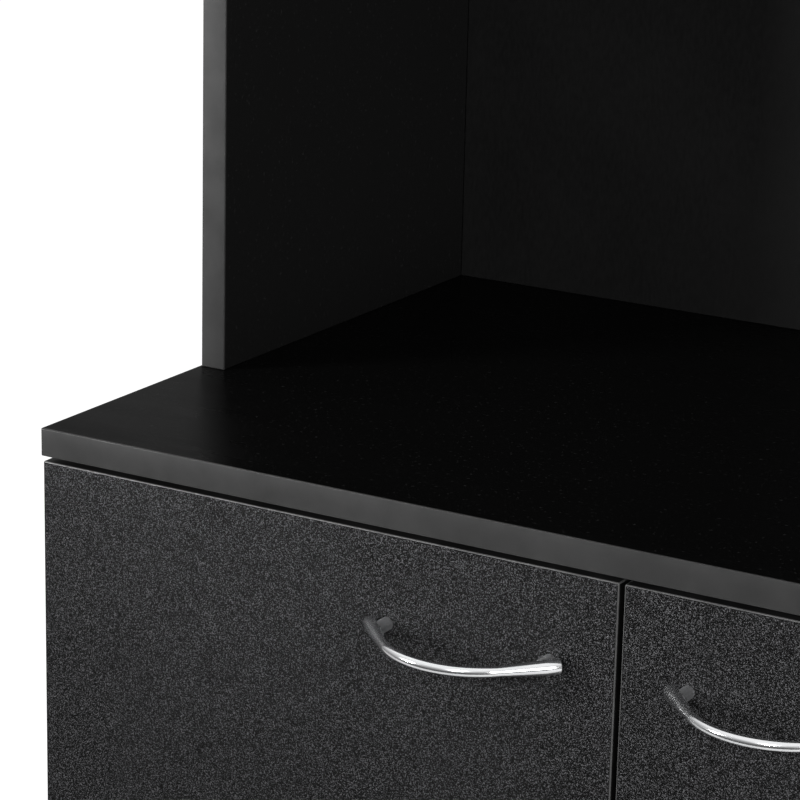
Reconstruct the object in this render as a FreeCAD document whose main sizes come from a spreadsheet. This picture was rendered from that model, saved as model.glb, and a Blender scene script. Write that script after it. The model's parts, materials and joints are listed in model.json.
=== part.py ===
# Kitchen pantry cabinet: a two-door base under an overhanging countertop, and on it a shallower
# hutch with an open bay, one wide drawer and a two-door cupboard.
# Row frame: X along the width, Y from front to back, Z up from the floor, in millimetres.
# The origin is on the floor, in the middle of the overall width and depth, handles included.
import FreeCAD, Part
import Sketcher
import math
import os

os.makedirs("parts", exist_ok=True)
Vector = FreeCAD.Vector
Rotation = FreeCAD.Rotation
doc = FreeCAD.newDocument("pantry_cabinet")

# Driving dimensions, one named cell each
SIZES = [
    ("width", 712),
    ("depth", 450),
    ("height", 1800),
    ("board", 16),
    ("counter_height", 800),
    ("bay_height", 440),
    ("drawer_opening", 140),
    ("hutch_setback", 154),
    ("side_inset", 1.5),
    ("plinth_height", 70),
    ("plinth_setback", 30),
    ("back_board", 3),
    ("groove_width", 5),
    ("groove_depth", 6),
    ("groove_lip", 10),
    ("groove_slack", 0.5),
    ("glide_width", 14),
    ("glide_length", 30),
    ("glide_height", 4),
    ("glide_inset", 40),
    ("shelf_clearance", 1),
    ("shelf_setback", 25),
    ("pin_radius", 2.4),
    ("pin_hole_radius", 2.5),
    ("pin_hole_depth", 10),
    ("pin_sunk", 9),
    ("pin_reach", 8),
    ("pin_inset", 60),
    ("pin_pitch", 32),
    ("cam_radius", 7.5),
    ("cam_depth", 12.5),
    ("cam_drop", 24),
    ("cam_inset", 60),
    ("bolt_radius", 3),
    ("bolt_slack", 0.15),
    ("bolt_sunk", 11),
    ("small_sides", 8),
    ("round_sides", 10),
    ("dowel_radius", 4),
    ("dowel_length", 30),
    ("dowel_sunk", 10),
    ("dowel_slack", 0.1),
    ("dowel_inset", 80),
    ("door_board", 16),
    ("door_setback", 2),
    ("door_clearance", 3),
    ("door_gap", 3),
    ("top_gap", 3.5),
    ("bottom_gap", 2),
    ("edge_radius", 1),
    ("hinge_end", 90),
    ("hinge_shelf_gap", 15),
    ("cup_radius", 17.5),
    ("cup_pocket", 12),
    ("cup_depth", 11.5),
    ("cup_slack", 0.2),
    ("cup_wall", 0.8),
    ("cup_sides", 20),
    ("cup_offset", 21),
    ("flange_width", 16),
    ("flange_length", 60),
    ("flange_thickness", 1.2),
    ("hinge_pin_radius", 1),
    ("hinge_pin_length", 17),
    ("pin_from_edge", 7),
    ("pin_from_back", 8),
    ("eye_radius", 2),
    ("eye_clearance", 0.05),
    ("eye_width", 5),
    ("arm_width", 9),
    ("arm_thickness", 2.2),
    ("plate_setback", 37),
    ("plate_length", 36),
    ("plate_thickness", 2.8),
    ("plate_width", 14),
    ("wing_length", 44),
    ("wing_width", 11),
    ("handle_spacing", 96),
    ("handle_reach", 42.5),
    ("handle_overhang", 9),
    ("handle_inset", 37),
    ("handle_drop", 49),
    ("bow_radius", 48),
    ("bow_angle", 43.4),
    ("bow_middle_radius", 2.7),
    ("bow_tip_radius", 4.1),
    ("post_radius", 3.5),
    ("handle_thread_radius", 2.1),
    ("handle_thread_depth", 12),
    ("handle_screw_radius", 1.95),
    ("handle_screw_grip", 10),
    ("handle_hole_radius", 2.3),
    ("handle_head_radius", 4),
    ("handle_head", 2.4),
    ("bumper_width", 5.5),
    ("bumper_thickness", 2.7),
    ("bumper_inset", 30),
    ("drawer_board", 12),
    ("drawer_length", 255),
    ("drawer_box_height", 110),
    ("drawer_lift", 12),
    ("drawer_side_gap", 2),
    ("drawer_back_drop", 12),
    ("drawer_bottom_lift", 10),
    ("drawer_bottom_slot", 5),
    ("drawer_bottom_slack", 0.2),
    ("rail_length", 250),
    ("rail_height", 12),
    ("rail_engaged", 6),
    ("rail_clearance", 0.2),
    ("rail_setback", 4),
    ("bracket_width", 20),
    ("bracket_rise", 22),
    ("bracket_foot", 25),
    ("bracket_thickness", 2),
    ("bracket_hole_radius", 2.75),
    ("bracket_hole_rise", 13),
    ("bracket_pitch", 500),
]
sheet = doc.addObject("Spreadsheet::Sheet", "dims")
for row, (name, value) in enumerate(SIZES, start=1):
    sheet.set(f"A{row}", name)
    sheet.set(f"B{row}", str(value))
    sheet.setAlias(f"B{row}", name)
doc.recompute()

# Places in the row frame, as expressions of the driving dimensions
FRONT = "(-(dims.depth + dims.door_setback - dims.handle_reach - dims.bow_middle_radius) / 2)"
REAR = f"({FRONT} + dims.depth)"
LEFT = "(-dims.width / 2)"
DOOR_FACE = f"({FRONT} + dims.door_setback)"
DOOR_DEPTH = "(dims.door_board + dims.door_clearance)"
BASE_FRONT = f"({DOOR_FACE} + {DOOR_DEPTH})"
HUTCH_FRONT = f"({FRONT} + dims.hutch_setback)"
UPPER_FACE = f"({HUTCH_FRONT} - {DOOR_DEPTH})"
TOP_FRONT = f"({UPPER_FACE} - dims.door_setback)"
BACK_FACE = f"({REAR} - dims.groove_lip - dims.back_board)"
SIDE_OUT = f"({LEFT} + dims.side_inset)"
SIDE_IN = f"({SIDE_OUT} + dims.board)"
INNER_WIDTH = "(dims.width - 2 * dims.side_inset - 2 * dims.board)"
COUNTER_UNDER = "(dims.counter_height - dims.board)"
TOP_UNDER = "(dims.height - dims.board)"
BOTTOM_TOP = "(dims.plinth_height + dims.board)"
CEILING = "(dims.counter_height + dims.bay_height)"
FLOOR = f"({CEILING} + dims.board + dims.drawer_opening)"
FLOOR_TOP = f"({FLOOR} + dims.board)"
DOOR_WIDTH = "((dims.width - dims.door_gap) / 2)"
LOWER_DOOR_Z = "(dims.plinth_height + dims.bottom_gap)"
LOWER_DOOR_HEIGHT = f"({COUNTER_UNDER} - dims.top_gap - {LOWER_DOOR_Z})"
UPPER_DOOR_Z = f"({FLOOR} + dims.board / 2 + dims.door_gap / 2)"
UPPER_DOOR_HEIGHT = f"({TOP_UNDER} - dims.top_gap - {UPPER_DOOR_Z})"
DRAWER_FRONT_Z = f"({CEILING} + dims.bottom_gap)"
DRAWER_FRONT_HEIGHT = f"({UPPER_DOOR_Z} - dims.door_gap - {DRAWER_FRONT_Z})"
BASE_SHELF_PINS = f"(({BOTTOM_TOP} + {COUNTER_UNDER}) / 2)"
HUTCH_SHELF_PINS = f"(({FLOOR_TOP} + {TOP_UNDER}) / 2)"

# Directions for cylinders, which stand on Z until they are turned
ALONG_X = Rotation(Vector(0, 1, 0), 90)
ALONG_Y = Rotation(Vector(1, 0, 0), -90)
UPRIGHT = Rotation()
FLIPPED = Rotation(Vector(0, 1, 0), 180)


def bind(thing, **expressions):
    """Ties the named properties of an object to expressions on the sheet."""
    for prop, expression in expressions.items():
        thing.setExpression(prop, str(expression))


def place(thing, x, y, z, turn=UPRIGHT):
    """Puts an object at a place given as three expressions."""
    thing.Placement = FreeCAD.Placement(Vector(), turn)
    for axis, expression in zip("xyz", (x, y, z)):
        thing.setExpression(f".Placement.Base.{axis}", str(expression))


def new_body(label, x=0, y=0, z=0, turn=UPRIGHT):
    """An empty body with its local origin at a place in the row frame."""
    body = doc.addObject("PartDesign::Body", label)
    body.Label = label
    place(body, x, y, z, turn)
    return body


def origin_plane(body, role):
    return next(f for f in body.Origin.OriginFeatures if f.Role == role)


def new_sketch(body, name, role):
    sketch = body.newObject("Sketcher::SketchObject", name)
    sketch.AttachmentSupport = [(origin_plane(body, role), "")]
    sketch.MapMode = "FlatFace"
    return sketch


def board(label, role, across, along, thickness, x, y, z, turn=UPRIGHT):
    """A board cut from sheet: a rectangle on one origin plane, padded by its thickness."""
    body = new_body(label, x, y, z, turn)
    sketch = new_sketch(body, f"{label}_outline", role)
    wide, high = (float(sheet.evalExpression(size)) for size in (across, along))
    corners = [Vector(0, 0), Vector(wide, 0), Vector(wide, high), Vector(0, high)]
    for i in range(4):
        sketch.addGeometry(Part.LineSegment(corners[i], corners[(i + 1) % 4]), False)
    for i in range(4):
        sketch.addConstraint(Sketcher.Constraint("Coincident", i, 2, (i + 1) % 4, 1))
    for i, way in enumerate(("Horizontal", "Vertical", "Horizontal", "Vertical")):
        sketch.addConstraint(Sketcher.Constraint(way, i))
    sketch.addConstraint(Sketcher.Constraint("Coincident", 0, 1, -1, 1))
    for line, name, size, expression in ((0, "across", wide, across), (1, "along", high, along)):
        index = sketch.addConstraint(Sketcher.Constraint("Distance", line, size))
        sketch.renameConstraint(index, name)
        sketch.setExpression(f"Constraints.{name}", expression)
    pad = body.newObject("PartDesign::Pad", f"{label}_board")
    pad.Profile = sketch
    pad.Reversed = role == "XZ_Plane"
    bind(pad, Length=thickness)
    return body


def box(body, name, kind, size, at):
    """Adds or cuts a block in a body; kind is Additive or Subtractive."""
    feature = body.newObject(f"PartDesign::{kind}Box", f"{body.Label}_{name}")
    place(feature, *at)
    bind(feature, Length=size[0], Width=size[1], Height=size[2])
    return feature


def cylinder(body, name, kind, radius, length, at, turn=UPRIGHT):
    """Adds or cuts a round bar in a body; kind is Additive or Subtractive."""
    feature = body.newObject(f"PartDesign::{kind}Cylinder", f"{body.Label}_{name}")
    place(feature, *at, turn)
    bind(feature, Radius=radius, Height=length)
    return feature


def prism(body, name, kind, radius, length, at, turn=UPRIGHT, sides="dims.small_sides"):
    """A small pin or hole with few flat sides, for what is repeated many times."""
    feature = body.newObject(f"PartDesign::{kind}Prism", f"{body.Label}_{name}")
    place(feature, *at, turn)
    bind(feature, Polygon=sides, Circumradius=radius, Height=length)
    return feature


def round_edges(body, name, radius, wanted):
    """Fillets the edges of a body that wanted(edge) picks."""
    doc.recompute()
    tip = body.Tip
    edges = [f"Edge{i}" for i, e in enumerate(tip.Shape.Edges, start=1) if wanted(e)]
    fillet = body.newObject("PartDesign::Fillet", f"{body.Label}_{name}")
    fillet.Base = (tip, edges)
    bind(fillet, Radius=radius)
    return fillet


def group(label, master, places):
    """Copies of one piece as separate solids in one node; each place is x, y, z and a turn."""
    copies = []
    for number, (x, y, z, turn) in enumerate(places, start=1):
        copy = doc.addObject("App::Link", f"{label}_{number}")
        copy.LinkedObject = master
        copy.LinkTransform = False
        place(copy, x, y, z, turn)
        copies.append(copy)
    node = doc.addObject("Part::Compound", label)
    node.Label = label
    node.Links = copies
    return node


pieces = []
BOLT_HOLE = "(dims.bolt_radius + dims.bolt_slack)"

# Dowels across the joints: each place is where one starts, and the direction in which it runs
DOWEL_STARTS = (f"({SIDE_IN} - dims.dowel_sunk)", f"(-{SIDE_IN} + dims.dowel_sunk - dims.dowel_length)")
DOWEL_REAR = f"({BACK_FACE} - dims.dowel_inset)"
dowel_places = []


def dowels(xs, ys, zs, turn):
    """Notes a set of dowels and returns their places, for the holes in the boards they join."""
    places = [(x, y, z, turn) for x in xs for y in ys for z in zs]
    dowel_places.extend(places)
    return places


def drill_dowels(body, origin, places):
    """Holes for dowels in a body; what of each hole lies outside the body cuts nothing."""
    for number, (x, y, z, turn) in enumerate(places):
        at = [f"{where} - {start}" for where, start in zip((x, y, z), origin)]
        at["XYZ".index("X" if turn is ALONG_X else "Z")] += " - dims.dowel_slack"
        size = ("dims.dowel_radius + dims.dowel_slack", "dims.dowel_length + 2 * dims.dowel_slack")
        prism(body, f"dowel_hole_{number}", "Subtractive", *size, at, turn)


bottom_ys = (f"({BASE_FRONT} + dims.dowel_inset)", DOWEL_REAR)
BOTTOM_DOWELS = dowels(DOWEL_STARTS, bottom_ys, ("dims.plinth_height + dims.board / 2",), ALONG_X)
PLINTH_Y = f"({BASE_FRONT} + dims.plinth_setback)"
plinth_middle = ((f"({PLINTH_Y} + dims.board / 2)",), ("(dims.plinth_height + dims.glide_height) / 2",))
PLINTH_DOWELS = dowels(DOWEL_STARTS, *plinth_middle, ALONG_X)
HUTCH_DOWEL_YS = (f"({HUTCH_FRONT} + dims.dowel_inset)", DOWEL_REAR)
CEILING_DOWELS = dowels(DOWEL_STARTS, HUTCH_DOWEL_YS, (f"({CEILING} + dims.board / 2)",), ALONG_X)
FLOOR_DOWELS = dowels(DOWEL_STARTS, HUTCH_DOWEL_YS, (f"({FLOOR} + dims.board / 2)",), ALONG_X)
EDGE_XS = (f"({SIDE_OUT} + dims.board / 2)", f"(-{SIDE_OUT} - dims.board / 2)")
COUNTER_DOWELS = dowels(EDGE_XS, HUTCH_DOWEL_YS, ("(dims.counter_height - dims.dowel_sunk)",), UPRIGHT)


# Side panels, with the groove for the back, shelf pin holes and cam pockets
def side_panel(label, hand, front, foot, height, pins_at, dowels_in):
    inner = "dims.board" if hand == "left" else "0"
    inward = "-1" if hand == "left" else "1"
    x = SIDE_OUT if hand == "left" else f"(-{SIDE_IN})"
    depth = f"({REAR} - {front})"
    body = board(label, "YZ_Plane", depth, height, "dims.board", x, front, foot)
    # The groove is open at both ends of the panel, as a saw cuts it
    groove_x = "dims.board - dims.groove_depth" if hand == "left" else "0"
    groove_y = f"{depth} - dims.groove_lip - dims.groove_width"
    size = ("dims.groove_depth", "dims.groove_width", height)
    box(body, "groove", "Subtractive", size, (groove_x, groove_y, 0))
    # Two columns of pin holes, three high, drilled from the inner face
    hole_x = f"{inner} - dims.pin_hole_depth" if hand == "left" else "0"
    first = f"{pins_at} - {foot} - dims.pin_pitch"
    columns = ("dims.pin_inset", f"{depth} - dims.groove_lip - dims.back_board - dims.pin_inset")
    holes = []
    for number, y in enumerate(columns):
        size = ("dims.pin_hole_radius", "dims.pin_hole_depth")
        holes.append(prism(body, f"pin_hole_{number}", "Subtractive", *size, (hole_x, y, first), ALONG_X))
    rows = body.newObject("PartDesign::LinearPattern", f"{label}_pin_rows")
    rows.Originals = holes
    rows.Direction = (origin_plane(body, "XY_Plane"), [""])
    rows.Occurrences = 3
    bind(rows, Length="2 * dims.pin_pitch")
    body.Tip = rows
    # Cam pockets in the inner face below the top edge, each with a bore for its bolt
    for number, y in enumerate(("dims.cam_inset", f"{depth} - dims.cam_inset")):
        cam_x = "dims.board - dims.cam_depth" if hand == "left" else "0"
        at = (cam_x, y, f"{height} - dims.cam_drop")
        prism(body, f"cam_pocket_{number}", "Subtractive", "dims.cam_radius", "dims.cam_depth", at, ALONG_X)
        at = ("dims.board / 2", y, f"{height} - dims.cam_drop")
        prism(body, f"bolt_bore_{number}", "Subtractive", BOLT_HOLE, "dims.cam_drop", at)
    own_xs = (DOWEL_STARTS[hand == "right"], EDGE_XS[hand == "right"])
    drill_dowels(body, (x, front, foot), [place for place in dowels_in if place[0] in own_xs])
    return body


BASE_SIDE_HEIGHT = f"({COUNTER_UNDER} - dims.glide_height)"
HUTCH_SIDE_HEIGHT = f"({TOP_UNDER} - dims.counter_height)"
BASE_DOWELS = BOTTOM_DOWELS + PLINTH_DOWELS
HUTCH_DOWELS = CEILING_DOWELS + FLOOR_DOWELS + COUNTER_DOWELS
SIDES = [
    ("base", BASE_FRONT, "dims.glide_height", BASE_SIDE_HEIGHT, BASE_SHELF_PINS, BASE_DOWELS),
    ("hutch", HUTCH_FRONT, "dims.counter_height", HUTCH_SIDE_HEIGHT, HUTCH_SHELF_PINS, HUTCH_DOWELS),
]
for hand in ("left", "right"):
    pieces += [side_panel(f"{level}_side_{hand}", hand, *rest) for level, *rest in SIDES]

# Fixed boards between the sides
BASE_DEPTH = f"({REAR} - {BASE_FRONT})"
HUTCH_CLEAR_DEPTH = f"({BACK_FACE} - {HUTCH_FRONT})"
bottom_at = (SIDE_IN, BASE_FRONT, "dims.plinth_height")
bottom = board("base_bottom", "XY_Plane", INNER_WIDTH, BASE_DEPTH, "dims.board", *bottom_at)
slot_at = (0, f"{BASE_DEPTH} - dims.groove_lip - dims.groove_width", "dims.board - dims.groove_depth")
box(bottom, "groove", "Subtractive", (INNER_WIDTH, "dims.groove_width", "dims.groove_depth"), slot_at)
drill_dowels(bottom, bottom_at, BOTTOM_DOWELS)
plinth_at = (SIDE_IN, PLINTH_Y, "dims.glide_height")
plinth_rise = "(dims.plinth_height - dims.glide_height)"
plinth = board("plinth", "XZ_Plane", INNER_WIDTH, plinth_rise, "dims.board", *plinth_at)
drill_dowels(plinth, plinth_at, PLINTH_DOWELS)
pieces += [bottom, plinth]
HUTCH_BOARDS = [("bay_ceiling", CEILING, CEILING_DOWELS), ("cupboard_floor", FLOOR, FLOOR_DOWELS)]
for label, height, places in HUTCH_BOARDS:
    at = (SIDE_IN, HUTCH_FRONT, height)
    shelf = board(label, "XY_Plane", INNER_WIDTH, HUTCH_CLEAR_DEPTH, "dims.board", *at)
    drill_dowels(shelf, at, places)
    pieces.append(shelf)

# Countertop and top panel, which lie over the sides; blind holes take the cam bolts
BOLT_ROWS = {
    "countertop": (BASE_FRONT, FRONT),
    "top_panel": (HUTCH_FRONT, TOP_FRONT),
}


def lid_board(label, under):
    side_front, own_front = BOLT_ROWS[label]
    size = ("dims.width", f"({REAR} - {own_front})", "dims.board")
    body = board(label, "XY_Plane", *size, LEFT, own_front, under)
    for number, (x, y) in enumerate(bolt_places(side_front)):
        at = (f"{x} - {LEFT}", f"{y} - {own_front}", 0)
        prism(body, f"bolt_hole_{number}", "Subtractive", BOLT_HOLE, "dims.bolt_sunk", at)
    return body


def bolt_places(side_front):
    """The four x, y places where a cam bolt stands in the top edge of a pair of sides."""
    ys = (f"({side_front} + dims.cam_inset)", f"({REAR} - dims.cam_inset)")
    return [(x, y) for x in EDGE_XS for y in ys]


counter = lid_board("countertop", COUNTER_UNDER)
drill_dowels(counter, (LEFT, FRONT, COUNTER_UNDER), COUNTER_DOWELS)
pieces += [counter, lid_board("top_panel", TOP_UNDER)]

dowel = new_body("dowel")
prism(dowel, "peg", "Additive", "dims.dowel_radius", "dims.dowel_length", (0, 0, 0))
pieces.append(group("dowels", dowel, dowel_places))

# Back panels, slid into the grooves and pressed against their rear walls
BACK_X = f"({SIDE_IN} - dims.groove_depth + dims.groove_slack)"
BACK_WIDTH = f"({INNER_WIDTH} + 2 * dims.groove_depth - 2 * dims.groove_slack)"
BASE_BACK_Z = f"({BOTTOM_TOP} - dims.groove_depth)"
BACKS = [
    ("base_back", BASE_BACK_Z, f"({COUNTER_UNDER} - {BASE_BACK_Z})"),
    ("hutch_back", "dims.counter_height", HUTCH_SIDE_HEIGHT),
]
for label, foot, rise in BACKS:
    size = (BACK_WIDTH, rise, "dims.back_board")
    pieces.append(board(label, "XZ_Plane", *size, BACK_X, BACK_FACE, foot))

# Adjustable shelves on pins
SHELF_WIDTH = f"({INNER_WIDTH} - 2 * dims.shelf_clearance)"
SHELF_X = f"({SIDE_IN} + dims.shelf_clearance)"
SHELVES = [("base_shelf", BASE_FRONT, BASE_SHELF_PINS), ("cupboard_shelf", HUTCH_FRONT, HUTCH_SHELF_PINS)]
for label, front, pins_at in SHELVES:
    shelf_front = f"({front} + dims.shelf_setback)"
    size = (SHELF_WIDTH, f"({BACK_FACE} - {shelf_front})", "dims.board")
    pieces.append(board(label, "XY_Plane", *size, SHELF_X, shelf_front, f"{pins_at} + dims.pin_radius"))

shelf_pin = new_body("shelf_pin")
size = ("dims.pin_radius", "dims.pin_sunk + dims.pin_reach")
prism(shelf_pin, "bar", "Additive", *size, (0, 0, 0), ALONG_X)
pin_places = []
for label, front, pins_at in SHELVES:
    for y in (f"({front} + dims.pin_inset)", f"({BACK_FACE} - dims.pin_inset)"):
        pin_places.append((f"({SIDE_IN} - dims.pin_sunk)", y, pins_at, UPRIGHT))
        pin_places.append((f"(-{SIDE_IN} + dims.pin_sunk)", y, pins_at, FLIPPED))
pieces.append(group("shelf_pins", shelf_pin, pin_places))

# Glides nailed under the base sides
glide = new_body("glide")
at = ("-dims.glide_width / 2", "-dims.glide_length / 2", 0)
box(glide, "pad", "Additive", ("dims.glide_width", "dims.glide_length", "dims.glide_height"), at)
glide_ys = (f"({BASE_FRONT} + dims.glide_inset)", f"({REAR} - dims.glide_inset)")
pieces.append(group("glides", glide, [(x, y, 0, UPRIGHT) for x in EDGE_XS for y in glide_ys]))

# Cam locks in the sides and the bolts that they draw down
cam = new_body("cam")
prism(cam, "disc", "Additive", "dims.cam_radius", "dims.cam_depth", (0, 0, 0), ALONG_X)
bolt = new_body("bolt")
bolt_length = "dims.cam_drop - dims.cam_radius + dims.bolt_sunk"
prism(bolt, "shank", "Additive", "dims.bolt_radius", bolt_length, (0, 0, 0))
cam_places = []
bolt_rows = []
for front, under in ((BASE_FRONT, COUNTER_UNDER), (HUTCH_FRONT, TOP_UNDER)):
    for x, y in bolt_places(front):
        bolt_rows.append((x, y, f"({under} - dims.cam_drop + dims.cam_radius)", UPRIGHT))
    for y in (f"({front} + dims.cam_inset)", f"({REAR} - dims.cam_inset)"):
        cam_places.append((f"({SIDE_IN} - dims.cam_depth)", y, f"({under} - dims.cam_drop)", UPRIGHT))
        cam_places.append((f"(-{SIDE_IN} + dims.cam_depth)", y, f"({under} - dims.cam_drop)", FLIPPED))
pieces.append(group("cam_locks", cam, cam_places))
pieces.append(group("cam_bolts", bolt, bolt_rows))

# Bow handle: a round bar bent to an arc with straight legs that swell to flat-cut ends, on two posts.
# Its local origin is on the door's face midway between the posts, and it stands out along -Y.
ARC_CENTRE_Y = "(dims.bow_radius - dims.handle_reach)"
ARC_END_X = "(dims.bow_radius * sin(dims.bow_angle))"
ARC_END_Y = f"({ARC_CENTRE_Y} - dims.bow_radius * cos(dims.bow_angle))"
LEG_SPAN = f"(dims.handle_spacing / 2 + dims.handle_overhang - {ARC_END_X})"
TIP_Y = f"({ARC_END_Y} + {LEG_SPAN} * tan(dims.bow_angle))"
POST_LENGTH = f"(-({ARC_END_Y} + (dims.handle_spacing / 2 - {ARC_END_X}) * tan(dims.bow_angle)))"


def bar_section(body, name, radius, from_axis, x, y, heading):
    """The bar's section, a polygon, in a plane that starts upright across X and is turned to a heading.

    radius and from_axis are names on the sheet; without from_axis the plane's origin is the middle.
    """
    sketch = new_sketch(body, name, "YZ_Plane")
    sides = int(sheet.round_sides)
    size = getattr(sheet, radius)
    middle = Vector(-getattr(sheet, from_axis) if from_axis else 0, 0)
    turns = [2 * math.pi * i / sides for i in range(sides)]
    corners = [middle + Vector(size * math.cos(turn), size * math.sin(turn)) for turn in turns]
    for i in range(sides):
        sketch.addGeometry(Part.LineSegment(corners[i], corners[(i + 1) % sides]), False)
    sketch.addGeometry(Part.Circle(middle, Vector(0, 0, 1), size), True)
    for i in range(sides):
        sketch.addConstraint(Sketcher.Constraint("Coincident", i, 2, (i + 1) % sides, 1))
        sketch.addConstraint(Sketcher.Constraint("PointOnObject", i, 1, sides))
    for i in range(1, sides):
        sketch.addConstraint(Sketcher.Constraint("Equal", 0, i))
    sketch.addConstraint(Sketcher.Constraint("Horizontal", 0, 1, sides, 3))
    index = sketch.addConstraint(Sketcher.Constraint("Radius", sides, size))
    sketch.renameConstraint(index, "radius")
    sketch.setExpression("Constraints.radius", f"dims.{radius}")
    if from_axis:
        sketch.addConstraint(Sketcher.Constraint("PointOnObject", sides, 3, -1))
        index = sketch.addConstraint(Sketcher.Constraint("DistanceX", sides, 3, -1, 1, -middle.x))
        sketch.renameConstraint(index, "from_axis")
        sketch.setExpression("Constraints.from_axis", f"dims.{from_axis}")
    else:
        sketch.addConstraint(Sketcher.Constraint("Coincident", sides, 3, -1, 1))
    offset = f"placement(vector({y}; 0; {x}); vector(0; 1; 0); {heading})"
    sketch.setExpression("AttachmentOffset", offset)
    return sketch


def bow_handle(label, x, y, z):
    body = new_body(label, x, y, z)
    name = f"{label}_section"
    section = bar_section(body, name, "bow_middle_radius", "bow_radius", "0", ARC_CENTRE_Y, "0")
    arc = body.newObject("PartDesign::Revolution", f"{label}_arc")
    arc.Profile = section
    arc.ReferenceAxis = (section, ["V_Axis"])
    arc.Midplane = True
    bind(arc, Angle="2 * dims.bow_angle")
    thread = ("dims.handle_thread_radius", "dims.handle_thread_depth")
    for end, side in (("right", "+"), ("left", "-")):
        heading = f"0 {side} dims.bow_angle"
        start_x = f"0 {side} {ARC_END_X}"
        name = f"{label}_{end}_start"
        start = bar_section(body, name, "bow_middle_radius", None, start_x, ARC_END_Y, heading)
        tip_x = f"0 {side} (dims.handle_spacing / 2 + dims.handle_overhang)"
        name = f"{label}_{end}_tip"
        tip = bar_section(body, name, "bow_tip_radius", None, tip_x, TIP_Y, heading)
        leg = body.newObject("PartDesign::AdditiveLoft", f"{label}_{end}_leg")
        leg.Profile = start
        leg.Sections = [tip]
        leg.Ruled = True
        post_x = f"0 {side} dims.handle_spacing / 2"
        at = (post_x, f"-{POST_LENGTH}", 0)
        size = ("dims.post_radius", POST_LENGTH)
        prism(body, f"{end}_post", "Additive", *size, at, ALONG_Y, "dims.round_sides")
        at = (post_x, "-dims.handle_thread_depth", 0)
        prism(body, f"{end}_thread", "Subtractive", *thread, at, ALONG_Y)
    return body


# Handle screws, driven through the door from behind; the local origin is on the door's face
handle_screw = new_body("handle_screw")
size = ("dims.handle_screw_radius", "dims.handle_screw_grip + dims.door_board")
prism(handle_screw, "shank", "Additive", *size, (0, "-dims.handle_screw_grip", 0), ALONG_Y)
size = ("dims.handle_head_radius", "dims.handle_head")
prism(handle_screw, "head", "Additive", *size, (0, "dims.door_board", 0), ALONG_Y)


def handle_set(name, x, y, z):
    """A bow handle and its two screws; the place is midway between the posts, on the face."""
    pieces.append(bow_handle(f"handle_{name}", x, y, z))
    half = "dims.handle_spacing / 2"
    places = [(f"{x} - {half}", y, z, UPRIGHT), (f"{x} + {half}", y, z, UPRIGHT)]
    pieces.append(group(f"handle_screws_{name}", handle_screw, places))


def handle_holes(body, x, z):
    """Two clearance holes through a front, for the screws of one handle."""
    for number, side in enumerate(("-", "+")):
        at = (f"{x} {side} dims.handle_spacing / 2", 0, z)
        size = ("dims.handle_hole_radius", "dims.door_board")
        prism(body, f"handle_hole_{number}", "Subtractive", *size, at, ALONG_Y)


def front_board(label, width, height, x, y, z):
    """A door or drawer front with its four upright edges eased."""
    body = board(label, "XZ_Plane", width, height, "dims.door_board", x, y, z)
    round_edges(body, "eased_edges", "dims.edge_radius", lambda e: e.BoundBox.ZLength > sheet.door_board)
    return body


# Cup hinge. Local origin: centre of the cup on the door's back face, +X towards the door's free
# edge, +Y out of the door. One pivot stands for the linkage, close to the door's hinged edge.
PIVOT_X = "(dims.pin_from_edge - dims.cup_offset)"
PIVOT_Y = "(-dims.pin_from_back)"
SIDE_FACE_X = "(dims.side_inset + dims.board - dims.cup_offset)"
ARM_X = f"({SIDE_FACE_X} + dims.plate_thickness)"
PLATE_MIDDLE_Y = "(dims.door_clearance + dims.plate_setback)"
ARM_END_Y = f"({PLATE_MIDDLE_Y} + dims.plate_length / 2)"


def hinge_cup():
    body = new_body("hinge_cup")
    at = ("-dims.flange_width / 2", 0, "-dims.flange_length / 2")
    box(body, "flange", "Additive", ("dims.flange_width", "dims.flange_thickness", "dims.flange_length"), at)
    outer = "dims.cup_radius - dims.cup_slack"
    at = (0, "-dims.cup_depth", 0)
    prism(body, "shell", "Additive", outer, "dims.cup_depth", at, ALONG_Y, "dims.cup_sides")
    inner = "dims.cup_radius - dims.cup_slack - dims.cup_wall"
    hollow = "dims.cup_depth - dims.cup_wall + dims.flange_thickness"
    at = (0, "dims.cup_wall - dims.cup_depth", 0)
    prism(body, "hollow", "Subtractive", inner, hollow, at, ALONG_Y, "dims.cup_sides")
    at = (PIVOT_X, PIVOT_Y, "-dims.hinge_pin_length / 2")
    size = ("dims.hinge_pin_radius", "dims.hinge_pin_length")
    prism(body, "pin", "Additive", *size, at, UPRIGHT, "dims.round_sides")
    return body


def hinge_arm():
    body = new_body("hinge_arm")
    at = (PIVOT_X, PIVOT_Y, "-dims.eye_width / 2")
    prism(body, "eye", "Additive", "dims.eye_radius", "dims.eye_width", at, UPRIGHT, "dims.round_sides")
    half = "dims.arm_thickness / 2"
    crank = f"({ARM_X} - {PIVOT_X} + dims.arm_thickness)"
    at = (PIVOT_X, f"{PIVOT_Y} - {half}", "-dims.arm_width / 2")
    box(body, "crank", "Additive", (crank, "dims.arm_thickness", "dims.arm_width"), at)
    at = (ARM_X, f"{PIVOT_Y} - {half}", "-dims.arm_width / 2")
    size = ("dims.arm_thickness", f"{ARM_END_Y} - {PIVOT_Y} + {half}", "dims.arm_width")
    box(body, "lever", "Additive", size, at)
    bore = "dims.hinge_pin_radius + dims.eye_clearance"
    at = (PIVOT_X, PIVOT_Y, "-dims.arm_width / 2")
    prism(body, "bore", "Subtractive", bore, "dims.arm_width", at, UPRIGHT, "dims.round_sides")
    return body


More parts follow.
